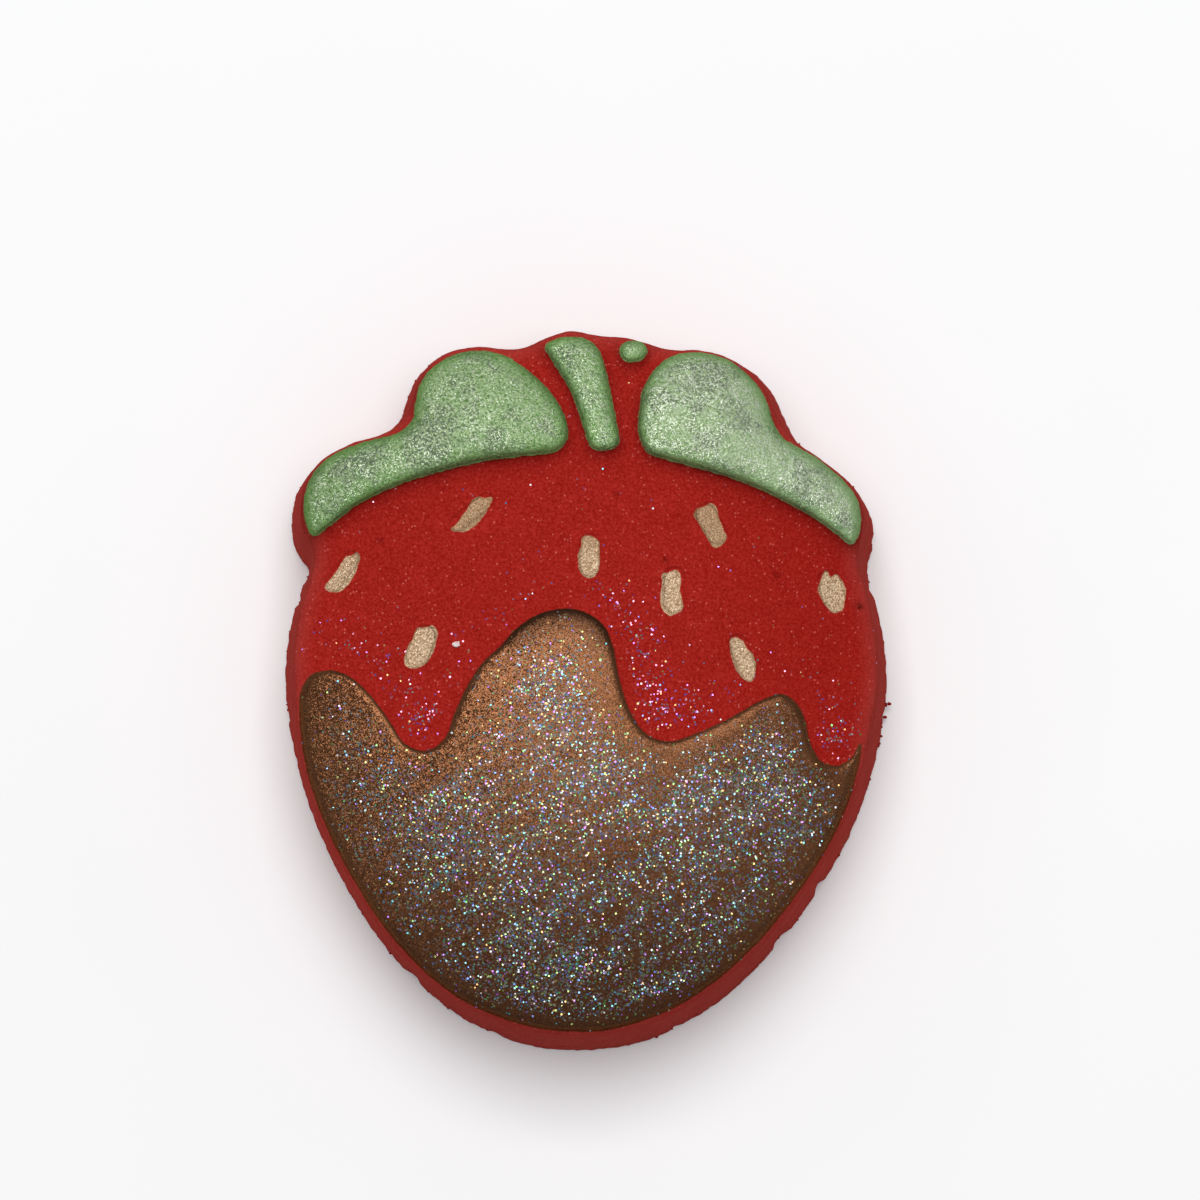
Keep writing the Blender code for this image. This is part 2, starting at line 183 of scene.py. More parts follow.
# The two leaves, anticlockwise, the left one from the tip of its arm.
LEFT_LEAF = (
    (-27.9, 14.8), (-26.1, 15.9), (-23.4, 17.9), (-18.9, 20.0), (-14.9, 21.2),
    (-10.7, 22.2), (-5.8, 22.8), (-3.1, 23.2), (-1.9, 24.4), (-1.9, 26.2),
    (-3.1, 28.7), (-5.1, 31.0), (-8.3, 33.3), (-11.0, 33.9), (-13.8, 33.4),
    (-16.0, 32.0), (-17.1, 30.3), (-17.5, 28.5), (-17.8, 26.6), (-19.2, 25.4),
    (-23.2, 24.4), (-25.9, 23.3), (-27.6, 21.9), (-28.7, 20.0), (-29.0, 17.8),
    (-28.6, 15.8),
)
RIGHT_LEAF = (
    (6.2, 23.2), (8.2, 22.4), (11.1, 21.6), (14.3, 20.7), (17.4, 19.6),
    (20.7, 18.0), (23.6, 16.4), (25.7, 14.9), (27.3, 13.9), (28.1, 15.3),
    (28.2, 17.2), (27.7, 19.0), (26.3, 20.7), (23.9, 22.7), (21.7, 24.0),
    (20.1, 25.0), (19.2, 26.6), (18.7, 28.3), (17.9, 30.0), (16.5, 31.6),
    (14.8, 32.9), (12.8, 33.6), (10.5, 33.7), (8.5, 33.1), (7.0, 31.7),
    (5.9, 29.9), (5.5, 27.7), (5.4, 25.2),
)

# The stem bar and the dot beside it.
BAR = (
    (0.6, 23.6), (2.2, 23.3), (3.4, 24.0), (3.2, 26.0), (2.7, 28.6),
    (2.0, 32.0), (1.2, 34.1), (0.1, 35.0), (-1.4, 35.3), (-3.0, 35.1),
    (-4.2, 34.3), (-3.3, 32.5), (-1.9, 30.2), (-0.8, 27.6), (-0.2, 25.5),
)
DOT = (4.9, 33.8, 2.9, 2.3, 80.0)

# The sunk seeds: centre, length, width and lean from +Y, in degrees towards +X.
SEEDS = (
    (-11.6, 17.0, 5.5, 1.8, 51.0),
    (12.8, 15.8, 4.7, 2.3, -30.0),
    (0.4, 12.5, 4.6, 2.2, 0.0),
    (9.0, 9.0, 4.9, 2.3, 0.0),
    (25.2, 9.0, 4.7, 2.5, -17.0),
    (-24.9, 11.1, 4.9, 1.8, 36.0),
    (-16.8, 3.2, 4.7, 2.5, 20.0),
    (16.0, 2.1, 5.1, 2.1, -20.0),
)

# The cream paint of each seed, which runs unevenly over its edge. Anticlockwise.
SEED_PAINT = (
    ((-13.3, 15.7), (-12.7, 16.5), (-12.0, 17.5), (-11.5, 18.3), (-10.8, 18.6),
     (-10.4, 18.4), (-9.5, 18.5), (-9.9, 17.4), (-10.9, 15.9), (-12.2, 15.0),
     (-13.4, 15.0), (-13.8, 15.2)),
    ((11.4, 16.0), (12.1, 14.8), (12.9, 13.5), (13.4, 13.3), (14.2, 13.9),
     (14.4, 14.6), (14.1, 15.2), (13.6, 16.4), (13.3, 17.6), (12.7, 17.9),
     (12.1, 17.6), (11.4, 17.3), (11.0, 16.7)),
    ((-0.4, 13.5), (-0.7, 12.8), (-0.7, 11.2), (-0.4, 10.5), (0.4, 10.1),
     (1.0, 10.4), (1.4, 11.2), (1.4, 12.9), (1.3, 14.0), (0.5, 14.5), (-0.4, 14.3)),
    ((7.8, 9.6), (7.6, 8.2), (7.8, 7.0), (8.4, 6.3), (9.1, 6.5), (9.8, 6.8),
     (9.9, 7.6), (9.6, 9.0), (9.7, 10.3), (9.2, 11.1), (8.6, 10.8), (7.8, 10.6)),
    ((23.8, 9.0), (24.5, 7.6), (25.4, 6.8), (26.3, 7.2), (26.5, 7.9), (26.6, 9.2),
     (26.2, 10.2), (25.6, 10.8), (25.1, 10.5), (24.6, 11.2), (24.1, 10.4)),
    ((-25.7, 10.9), (-26.7, 9.5), (-26.3, 9.0), (-25.1, 9.0), (-24.1, 9.9),
     (-23.4, 11.3), (-23.1, 12.6), (-23.4, 13.1), (-23.9, 12.7), (-24.4, 12.7)),
    ((-17.6, 4.1), (-18.2, 3.0), (-18.5, 1.6), (-17.9, 1.0), (-16.9, 1.1),
     (-16.0, 1.8), (-15.3, 3.3), (-15.1, 4.7), (-15.6, 5.4), (-16.1, 5.2), (-17.2, 5.1)),
    ((14.8, 2.4), (15.4, 0.7), (16.0, 0.0), (16.8, -0.4), (17.3, 0.6), (17.1, 2.3),
     (16.5, 3.0), (15.9, 3.9), (15.1, 4.2), (14.7, 3.8)),
)

# The dabs of glitter: centre, half length, half width, turn in degrees and flakes
# to the square millimetre, first on the coating and then on the bare powder.
COATING_DABS = (
    (-3.0, -2.5, 6.5, 4.0, -75.0, 9.5),
    (2.0, -9.0, 6.0, 4.0, 0.0, 4.0),
    (16.0, -9.0, 7.0, 4.0, 20.0, 14.0),
    (18.5, -14.0, 8.0, 5.5, 40.0, 8.0),
    (5.0, -14.0, 12.0, 6.0, 5.0, 5.0),
    (-13.0, -14.5, 9.0, 5.0, -15.0, 9.5),
    (-19.0, -9.0, 5.0, 3.5, -40.0, 4.0),
    (-6.0, -24.5, 8.0, 5.5, -10.0, 9.0),
    (6.0, -24.0, 11.0, 6.0, 20.0, 4.0),
    (-2.0, -30.5, 9.0, 4.0, 0.0, 4.5),
    (11.0, -28.5, 6.0, 4.0, 40.0, 4.5),
)
POWDER_DABS = (
    (-16.0, -5.4, 3.4, 1.9, -30.0, 7.0),
    (-19.5, -1.0, 5.0, 2.0, -48.0, 2.0),
    (-11.0, 2.0, 5.0, 2.2, 50.0, 1.8),
    (-6.0, 8.0, 7.0, 1.8, 35.0, 0.9),
    (-23.5, 3.5, 4.5, 2.0, -30.0, 1.2),
    (5.0, 2.0, 5.5, 2.4, -70.0, 6.5),
    (8.3, -3.8, 4.5, 2.4, -10.0, 10.5),
    (13.5, -1.0, 6.0, 2.0, 25.0, 0.8),
    (25.3, -6.6, 2.6, 1.9, 80.0, 8.0),
    (24.0, -1.5, 4.0, 2.5, 80.0, 0.8),
)
GLITTER_OVER_COATING = 3.1
DIM_FILM = 0.022
DIM_FILM_MOST = 0.38
GLITTER_STRAY = 0.04
GLITTER_EDGE = (0.3, 2.3, 4.6)
GLITTER_BANDS = 2.2
GLITTER_WIDTH = (0.14, 0.24)
GLITTER_THICKNESS = 0.02
GLITTER_TILT = 13.0
POWDER_GLITTER_TILT = 14.0
GLITTER_SETTLING = 0.2
GLITTER_LIFT = 0.03

# The kinds of glitter flake: their share on the coating, their share on the bare
# powder and two shades that they run between.
GLITTER_KINDS = {
    "silver": (0.24, 0.10, (0.22, 0.24, 0.27), (0.27, 0.25, 0.24)),
    "aqua": (0.19, 0.02, (0.07, 0.26, 0.30), (0.15, 0.30, 0.28)),
    "green": (0.20, 0.01, (0.09, 0.29, 0.09), (0.26, 0.31, 0.10)),
    "blue": (0.13, 0.04, (0.08, 0.14, 0.44), (0.12, 0.24, 0.42)),
    "violet": (0.10, 0.27, (0.20, 0.09, 0.44), (0.32, 0.12, 0.40)),
    "gold": (0.12, 0.14, (0.38, 0.17, 0.06), (0.37, 0.29, 0.10)),
    "rose": (0.02, 0.42, (0.40, 0.13, 0.22), (0.42, 0.22, 0.32)),
}

# The crumbs on the right of the rim: place, size and how far they stand out.
RIM_CRUMBS = (
    (31.6, -1.6, 1.2, 0.26), (32.0, -1.5, 1.25, 0.21), (31.55, -2.9, 1.0, 0.24),
    (31.1, -4.9, 1.1, 0.22), (30.95, -5.7, 0.9, 0.20),
)
CRUMB_COUNT = 90
CRUMB_SIZE = (0.07, 0.17)
SALT_PLACE = (-13.2, 3.5)
SALT_SIZE = 0.6

CAMERA_TARGET = (1.48, 9.57, 0.0)
CAMERA_DISTANCE = 600.0
CAMERA_ELEVATION = 86.0
VIEW_WIDTH = 127.0
SENSOR_WIDTH = 36.0


# --- Outlines ---------------------------------------------------------------------


def even_loop(points, spacing):
    """The closed line through the points, cut again into even steps."""
    closed = np.vstack([points, points[:1]])
    steps = np.hypot(*np.diff(closed, axis=0).T)
    along = np.concatenate([[0.0], np.cumsum(steps)])
    count = round(along[-1] / spacing)
    wanted = np.arange(count) * along[-1] / count
    return np.column_stack([np.interp(wanted, along, closed[:, axis]) for axis in (0, 1)])


def smooth_loop(corners, spacing, steps=12):
    """A closed centripetal Catmull-Rom curve through the corners, cut into even steps."""
    corners = np.array(corners, float)
    before, start, end, after = (np.roll(corners, shift, axis=0) for shift in (1, 0, -1, -2))
    knot_0 = np.zeros(len(corners))
    knot_1 = knot_0 + np.sqrt(np.hypot(*(start - before).T))
    knot_2 = knot_1 + np.sqrt(np.hypot(*(end - start).T))
    knot_3 = knot_2 + np.sqrt(np.hypot(*(after - end).T))

    def blend(low, high, low_knot, high_knot, knot):
        share = ((knot - low_knot) / (high_knot - low_knot))[:, None]
        return low * (1 - share) + high * share

    pieces = []
    for step in range(steps):
        knot = knot_1 + (knot_2 - knot_1) * step / steps
        first = blend(before, start, knot_0, knot_1, knot)
        second = blend(start, end, knot_1, knot_2, knot)
        third = blend(end, after, knot_2, knot_3, knot)
        early = blend(first, second, knot_0, knot_2, knot)
        late = blend(second, third, knot_1, knot_3, knot)
        pieces.append(blend(early, late, knot_1, knot_2, knot))
    curve = np.stack(pieces, axis=1).reshape(-1, 2)
    return even_loop(curve, spacing)


def capsule_loop(shape, spacing, steps=8):
    """The outline of a seed: a straight middle between two half circles."""
    centre_x, centre_y, length, width, lean = shape
    radius = width / 2
    turns = np.linspace(0, math.pi, steps + 1)
    cap = np.column_stack([np.cos(turns), np.sin(turns)]) * radius
    cap[:, 1] += length / 2 - radius
    x, y = even_loop(np.vstack([cap, -cap]), spacing).T
    angle = math.radians(lean)
    across = x * math.cos(angle) + y * math.sin(angle)
    along = y * math.cos(angle) - x * math.sin(angle)
    return np.column_stack([centre_x + across, centre_y + along])


def inset_loop(loop, inset):
    """The anticlockwise loop moved inwards by one distance, or by one for each point."""
    along = np.roll(loop, -1, axis=0) - np.roll(loop, 1, axis=0)
    along /= np.hypot(*along.T)[:, None]
    inwards = np.column_stack([-along[:, 1], along[:, 0]])
    return loop + inwards * np.reshape(inset, (-1, 1))


def by_chunks(measure, points, loop):
    """Measures the points against the loop, a chunk of points at a time."""
    parts = np.array_split(points, len(points) // CHUNK + 1)
    return np.concatenate([measure(part, loop) for part in parts])


def nearest_on(points, loop):
    """The distance from each point to the nearest place on the closed loop."""
    runs = np.roll(loop, -1, axis=0) - loop
    squares = (runs**2).sum(axis=1)
    offsets = points[:, None, :] - loop[None, :, :]
    share = np.clip((offsets * runs).sum(axis=2) / squares, 0, 1)
    gaps = offsets - share[:, :, None] * runs
    return np.sqrt((gaps**2).sum(axis=2).min(axis=1))


def crossings(points, loop):
    """True for each point that lies inside the closed loop."""
    x, y = points[:, :1], points[:, 1:]
    ends = np.roll(loop, -1, axis=0)
    spans = (loop[:, 1] > y) != (ends[:, 1] > y)
    rise = ends[:, 1] - loop[:, 1]
    rise = np.where(rise == 0, 1, rise)
    crossing = loop[:, 0] + (y - loop[:, 1]) * (ends[:, 0] - loop[:, 0]) / rise
    return (spans & (x < crossing)).sum(axis=1) % 2 == 1


def distance_to(points, loop):
    return by_chunks(nearest_on, points, loop)


def is_inside(points, loop):
    return by_chunks(crossings, points, loop)


def depth_in(points, loop):
    """How far inside the loop each point lies, below nought outside it."""
    distance = distance_to(points, loop)
    return np.where(is_inside(points, loop), distance, -distance)


def shoulder_loop(rim, raised):
    """The line where the wall ends: it keeps a margin outside every raised shape."""
    room = np.min([distance_to(rim, loop) for loop in raised], axis=0)
    inset = np.minimum(WALL_DRAFT, room - SHOULDER_MARGIN)
    for _ in range(round(len(rim) * SHOULDER_SMOOTHING)):
        inset = (np.roll(inset, 1) + inset + np.roll(inset, -1)) / 3
    return inset_loop(rim, inset)


# --- Points and triangles of the top ----------------------------------------------


def rings_beside(loop, insets):
    """The loop's points moved inwards, or outwards where the inset is below nought."""
    found = []
    for inset in insets:
        ring = inset_loop(loop, inset)
        ring = ring[is_inside(ring, loop) == (inset > 0)]
        found.append(ring[distance_to(ring, loop) > RING_SHARE * abs(inset)])
    return np.vstack(found)


def grid_inside(loop):
    """Points of an equilateral grid over the space inside a loop."""
    low, high = loop.min(axis=0), loop.max(axis=0)
    rows = []
    for row, y in enumerate(np.arange(low[1], high[1], FILL_SPACING * math.sin(math.pi / 3))):
        x = np.arange(low[0] + FILL_SPACING / 2 * (row % 2), high[0], FILL_SPACING)
        rows.append(np.column_stack([x, np.full(len(x), y)]))
    grid = np.vstack(rows)
    return grid[is_inside(grid, loop)]


def add_apart(taken, wanted, gap):
    """The taken points, and the wanted ones at least a gap from each of them."""
    cells = {}
    for x, y in taken:
        cells.setdefault((int(x // gap), int(y // gap)), []).append((x, y))
    kept = []
    for x, y in wanted:
        column, row = int(x // gap), int(y // gap)
        near = (
            other
            for i in (column - 1, column, column + 1)
            for j in (row - 1, row, row + 1)
            for other in cells.get((i, j), ())
        )
        if all((x - a) ** 2 + (y - b) ** 2 > gap * gap for a, b in near):
            kept.append((x, y))
    return np.vstack([taken, kept]) if kept else taken


def triangulate(edge, lines, loose):
    """Triangles over the space inside the edge that follow every line.

    It gives the points, the triangles and the places of the edge's points.
    """
    loops = [edge, *lines]
    links = []
    start = 0
    for loop in loops:
        count = len(loop)
        links += [(start + i, start + (i + 1) % count) for i in range(count)]
        start += count
    wanted = np.vstack([*loops, loose]).tolist()
    result = delaunay_2d_cdt(wanted, links, [], 0, SAME_POINT)
    points = np.array([tuple(point) for point in result[0]])
    triangles = np.array(result[2])
    triangles = triangles[is_inside(points[triangles].mean(axis=1), edge)]
    place_of = {old: new for new, olds in enumerate(result[3]) for old in olds}
    return points, triangles, [place_of[i] for i in range(len(edge))]


# --- Heights ----------------------------------------------------------------------


def plain_height(points, edge):
    """The height of the crowned top, which turns down over the shoulder to the edge."""
    across = points[:, 0] / CROWN_HALF_WIDTH
    along = points[:, 1] / CROWN_HALF_LENGTH
    crown = CROWN_HEIGHT - CROWN_FALL * (across**2 + along**2)
    reach = 1 - np.clip(distance_to(points, edge) / SHOULDER_RADIUS, 0, 1)
    return crown - SHOULDER_RADIUS * (1 - np.sqrt(1 - reach**2))


def film_height(points, triangles, is_free):
    """A soap film blown up over the free points and held at zero by the others.

    It solves the film's equation on the triangles by conjugate gradients.
    """
    triangles = triangles[is_free[triangles].any(axis=1)]
    starts, ends, weights = [], [], []
    for a, b, apex in ((0, 1, 2), (1, 2, 0), (2, 0, 1)):
        to_a = points[triangles[:, a]] - points[triangles[:, apex]]
        to_b = points[triangles[:, b]] - points[triangles[:, apex]]
        twice_area = np.abs(to_a[:, 0] * to_b[:, 1] - to_a[:, 1] * to_b[:, 0])
        starts.append(triangles[:, a])
        ends.append(triangles[:, b])
        weights.append((to_a * to_b).sum(axis=1) / (2 * twice_area))
    starts, ends, weights = map(np.concatenate, (starts, ends, weights))
    count = len(points)
    own = np.bincount(starts, weights, count) + np.bincount(ends, weights, count)
    load = np.bincount(triangles.ravel(), np.repeat(twice_area / 6, 3), count)

    def pull(height):
        flow = np.bincount(starts, weights * height[ends], count)
        flow += np.bincount(ends, weights * height[starts], count)
        return np.where(is_free, own * height - flow, 0.0)

    height = np.zeros(count)
    rest = np.where(is_free, load, 0.0)
    search = rest.copy()
    error = rest @ rest
    target = error * FILM_ERROR
    while error > target:
        pulled = pull(search)
        step = error / (search @ pulled)
        height += step * search
        rest -= step * pulled
        error, error_before = rest @ rest, error
        search = rest + error / error_before * search
    return height


def cushion_height(points, triangles, depths, swell):
    """How far the shapes with these depths stand up from the top around them."""
    is_free = np.max(depths, axis=0) > ON_LINE
    film = film_height(points, triangles, is_free)
    return 2 * swell * np.sqrt(np.maximum(film, 0))


def plateau_share(depth, slope):
    """Nought outside the outline, one well inside it, a quarter round between."""
    short = 1 - np.clip(depth / slope, 0, 1)
    return np.sqrt(1 - short**2)


def coating_slope(points):
    """How far the coating's rounded slope reaches inwards, near each point."""
    reach = np.full(len(points), COATING_SLOPE)
    for x, y, slope, width in BROAD_SLOPES:
        near = np.exp(-((points[:, 0] - x) ** 2 + (points[:, 1] - y) ** 2) / width**2)
        reach = np.maximum(reach, COATING_SLOPE + (slope - COATING_SLOPE) * near)
    return reach


def noise_at(points, size, octaves=1, shift=0.0):
    """Smooth noise from about -1 to 1 at each point, with features of the given size."""
    spots = (np.asarray(points) / size + shift).tolist()
    if octaves == 1:
        return np.array([noise.noise(spot) for spot in spots])
    return np.array([noise.fractal(spot, 1.0, 2.0, octaves) for spot in spots])


# --- The body ---------------------------------------------------------------------


def top_surface(rim):
    """The top's vertices, triangles, edge places and depths inside the painted shapes."""
    coating = smooth_loop(COATING, LINE_SPACING)
    leaves = [smooth_loop(leaf, LINE_SPACING) for leaf in (LEFT_LEAF, RIGHT_LEAF)]
    bar = smooth_loop(BAR, LINE_SPACING)
    dot = capsule_loop(DOT, SEED_SPACING)
    seeds = [capsule_loop(seed, SEED_SPACING) for seed in SEEDS]
    lines = [coating, *leaves, bar, dot, *seeds]
    edge = shoulder_loop(rim, [coating, *leaves, bar])

    placed = np.vstack([edge, *lines])
    on_lines = len(placed)
    wanted = [rings_beside(edge, SHOULDER_RINGS)]
    wanted += [rings_beside(loop, RINGS) for loop in (coating, *leaves, bar)]
    wanted += [rings_beside(loop, SEED_RINGS) for loop in (dot, *seeds)]
    for group in wanted:
        placed = add_apart(placed, group, LEAST_GAP)
    placed = add_apart(placed, grid_inside(edge), FILL_GAP)

    points, triangles, edge_places = triangulate(edge, lines, placed[on_lines:])
    coat = depth_in(points, coating)
    leaf = [depth_in(points, loop) for loop in leaves]
    stem = [depth_in(points, loop) for loop in (bar, dot)]
    height = plain_height(points, edge)
    height += cushion_height(points, triangles, leaf, LEAF_SWELL)
    height += cushion_height(points, triangles, stem, BAR_SWELL)
    for depth, step in zip([*leaf, *stem], [LEAF_STEP, LEAF_STEP, BAR_STEP, BAR_STEP]):
        height += step * plateau_share(depth, STEP_SLOPE)
    height += COATING_HEIGHT * plateau_share(coat, coating_slope(points))
    for loop in seeds:
        height -= SEED_DEPTH * plateau_share(depth_in(points, loop), SEED_SLOPE)
    paint = [depth_in(points, smooth_loop(shape, SEED_SPACING)) for shape in SEED_PAINT]
    green = np.max(leaf + stem, axis=0)
    # Painted shade beside the leaves, the stem and the dot, deepest on their side away from the light.
    higher = np.max([depth_in(points + (0, NUDGE), loop) for loop in (*leaves, bar, dot)], axis=0)
    facing = np.clip((higher - green) / NUDGE, -1, 1)
    gap = np.maximum(-green, 0)
    painted_shade = SOUTH_SHADE * np.maximum(facing, 0) * np.exp(-((gap / SOUTH_SHADE_REACH) ** 1.2))
    painted_shade += SIDE_SHADE * (1 - np.abs(facing)) * np.exp(-gap / SIDE_SHADE_REACH)
    # The dust and painted sheen, reaching in over the edge of the top.
    wall = EDGE_DUST_AND_SHEEN * np.clip(1 - distance_to(points, edge) / DUST_AND_SHEEN_WIDTH, 0, 1) ** 1.3
    # The pits are painted darker too: painted shade in each hollow.
    for x, y, depth, radius in PITS:
        away = np.hypot(points[:, 0] - x, points[:, 1] - y) / radius
        painted_shade = np.maximum(painted_shade, np.minimum(4 * depth, 0.8) * np.exp(-(away**2)))
    depths = {"coat": coat, "green": green, "cream": np.max(paint, axis=0), "painted_shade": painted_shade, "wall": wall}
    return np.column_stack([points, height]), triangles, edge_places, depths


def wall_rows(rim_line, edge):
    """The rows of the wall, from the foot over the ragged rim to the edge of the top."""
    count = len(rim_line)
    spots = np.column_stack([rim_line, np.zeros(count)])
    worn = RAGGED_DEPTH * np.clip(0.5 + 0.7 * noise_at(spots, RAGGED_SIZE, 4), 0, 1)
    for x, y, depth, half_width in CHIPS:
        gap = np.hypot(rim_line[:, 0] - x, rim_line[:, 1] - y)
        worn += depth * np.clip(1.4 - gap / half_width, 0, 1)
    rows = []
    for height, inset in FOOT_ROWS:
        line = inset_loop(rim_line, inset + worn * (1 - inset / FOOT_INSET))
        rows.append(np.column_stack([line, np.full(count, height)]))
    rim = rows[-1]
    for share in np.linspace(0, 1, WALL_ROWS + 1)[1:-1]:
        rows.append(rim * (1 - share) + edge * share)
    return rows


def vertex_normals(vertices, faces):
    triangles = np.array([face[:3] for face in faces if len(face) < 5])
    across = vertices[triangles[:, 1]] - vertices[triangles[:, 0]]
    along = vertices[triangles[:, 2]] - vertices[triangles[:, 0]]
    normals = np.zeros_like(vertices)
    for corner in range(3):
        np.add.at(normals, triangles[:, corner], np.cross(across, along))
    return normals / np.maximum(np.linalg.norm(normals, axis=1), 1e-9)[:, None]


def grain(vertices, normals, depths):
    """How far the powder's grain lifts each vertex along its normal."""
    lift = LUMP_LIFT * noise_at(vertices, LUMP_SIZE, 2)
    lift += GRAIN_LIFT * noise_at(vertices, GRAIN_SIZE, 2, 7.0)
    is_wall = normals[:, 2] < 0.5
    lift[is_wall] *= WALL_GRAIN
    is_painted = np.maximum(depths["coat"], depths["green"]) > 0.1
    lift[is_painted] *= PAINT_GRAIN
    on_leaf = np.clip(depths["green"] / 0.4, 0, 1)
    lift += WRINKLE_LIFT * on_leaf * (noise_at(vertices, WRINKLE_SIZE, 3, 31.0) - 0.8)
    near_rim = np.clip(1 - vertices[:, 2] / CRUMBLY_HEIGHT, 0, 1)
    lift -= CRUMBLY_DEPTH * near_rim * np.clip(noise_at(vertices, CRUMBLY_SIZE, 3, 19.0), 0, 1)
    for x, y, depth, radius in PITS:
        gap = np.hypot(vertices[:, 0] - x, vertices[:, 1] - y)
        lift -= depth * np.exp(-((gap / radius) ** 2)) * (vertices[:, 2] > CROWN_HEIGHT / 2)
    return np.where(vertices[:, 2] > 0, lift, 0)


def body_mesh():
    rim_line = smooth_loop(RIM, LINE_SPACING)
    count = len(rim_line)
    top, triangles, edge_places, depths = top_surface(rim_line)
    rows = wall_rows(rim_line, top[edge_places])
    vertices = np.vstack([top, *rows])
    faces = [tuple(triangle) for triangle in triangles.tolist()]
    places = [list(range(len(top) + i * count, len(top) + (i + 1) * count)) for i in range(len(rows))]
    places.append(edge_places)
    for lower, upper in zip(places[:-1], places[1:]):
        for i in range(count):
            j = (i + 1) % count
            faces.append((lower[i], lower[j], upper[j], upper[i]))
    faces.append(tuple(reversed(places[0])))
    extra = len(vertices) - len(top)
    depths = {name: np.concatenate([depth, np.full(extra, FAR_OUTSIDE)]) for name, depth in depths.items()}
    # On the wall the dust and painted sheen grow with the fall from the top.
    falls = np.mean(top[edge_places, 2]) - vertices[len(top):, 2]
    depths["wall"][len(top):] = np.clip(EDGE_DUST_AND_SHEEN + (1 - EDGE_DUST_AND_SHEEN) * falls / DUST_AND_SHEEN_REACH, 0, 1)
    depths["painted_shade"][len(top):] = 0
    paint = np.maximum(depths["green"], depths["cream"])
    depths["film"] = np.clip(glitter_density(vertices, depths["coat"], paint) * DIM_FILM, 0, DIM_FILM_MOST)
    depths["film"][depths["coat"] <= 0] = 0
    normals = vertex_normals(vertices, faces)
    vertices += normals * grain(vertices, normals, depths)[:, None]
    return vertices, faces, depths


def centred(vertices):
    """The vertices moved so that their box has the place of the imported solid."""
    low, high = vertices.min(axis=0), vertices.max(axis=0)
    middle = (LOW + HIGH) / 2
    shift = np.array([middle[0] - (low[0] + high[0]) / 2, middle[1] - (low[1] + high[1]) / 2, 0])
    return vertices + shift


def add_piece(name, vertices, faces, material, depths=None, smooth=True):
    mesh = bpy.data.meshes.new(name)
    mesh.from_pydata((vertices * MM).tolist(), [], faces)
    for attribute, values in (depths or {}).items():
        layer = mesh.attributes.new(attribute, "FLOAT", "POINT")
        layer.data.foreach_set("value", values.astype(np.float32))
    mesh.materials.append(material)
    if smooth:
        mesh.shade_smooth()
    piece = bpy.data.objects.new(name, mesh)
    bpy.context.scene.collection.objects.link(piece)
    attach(piece, "root")
    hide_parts(NODE)
    return piece


# --- Loose things -------------------------------------------------------------------


def glitter_density(points, coat, paint):
    """Flakes to the square millimetre of the top at each point."""
    density = np.where(coat > 0, GLITTER_OVER_COATING, GLITTER_STRAY)
    for dabs, is_here in ((COATING_DABS, coat > 0), (POWDER_DABS, coat <= 0)):
        for centre_x, centre_y, half_length, half_width, turn, flakes in dabs:
            angle = math.radians(turn)
            x, y = points[:, 0] - centre_x, points[:, 1] - centre_y
            along = (x * math.cos(angle) + y * math.sin(angle)) / half_length
            across = (y * math.cos(angle) - x * math.sin(angle)) / half_width
            density += flakes * is_here * np.exp(-(along**2) - across**2)
    turned = np.column_stack([points[:, 0] * 0.35, points[:, 1] - points[:, 0] * 0.7, points[:, 0] * 0])
    density *= np.clip(1 + 1.1 * noise_at(turned, GLITTER_BANDS, 2, 3.0), 0.15, 2.2)
    near, low, high = GLITTER_EDGE
    far = low + (high - low) * (coat > 0) * np.clip((points[:, 1] + 14) / 6, 0, 1)
    fade = np.clip((np.abs(coat) - near) / (far - near), 0.04, 1)
    return np.where(paint > 0, 0, density * fade)


def scatter(vertices, triangles, density, chance):
    """Random places on the triangles, as dense as asked: points and their triangles."""
    corners = vertices[triangles]
    areas = np.linalg.norm(np.cross(corners[:, 1] - corners[:, 0], corners[:, 2] - corners[:, 0]), axis=1) / 2
    wanted = areas * density
    chosen = chance.choice(len(triangles), size=round(wanted.sum()), p=wanted / wanted.sum())
    first, second = np.sqrt(chance.random(len(chosen))), chance.random(len(chosen))
    shares = np.column_stack([1 - first, first * (1 - second), first * second])
    return (corners[chosen] * shares[:, :, None]).sum(axis=1), chosen


def flakes(places, normals, spread, chance):
    """Thin six-sided flakes at the places, each lying nearly along the surface."""
    turns = np.arange(6) * math.pi / 3
    tilt = chance.normal(size=(len(places), 3)) * np.radians(spread)[:, None]
    up = normals + tilt + (0, 0, GLITTER_SETTLING)
    up /= np.linalg.norm(up, axis=1)[:, None]
    side = np.cross(up, chance.normal(size=(len(places), 3)))
    side /= np.linalg.norm(side, axis=1)[:, None]
    other = np.cross(up, side)
    radii = chance.uniform(*GLITTER_WIDTH, len(places))[:, None, None] / 2
    ring = side[:, None, :] * np.cos(turns)[None, :, None] + other[:, None, :] * np.sin(turns)[None, :, None]
    middle = (places + up * GLITTER_LIFT)[:, None, :]
    half = up[:, None, :] * GLITTER_THICKNESS / 2
    vertices = np.concatenate([middle + ring * radii + half, middle + ring * radii - half], axis=1)
    sides = [(i + 6, (i + 1) % 6 + 6, (i + 1) % 6, i) for i in range(6)]
    plate = [(0, 1, 2, 3, 4, 5), (11, 10, 9, 8, 7, 6), *sides]
    faces = [tuple(12 * k + i for i in face) for k in range(len(places)) for face in plate]
    return vertices.reshape(-1, 3), faces


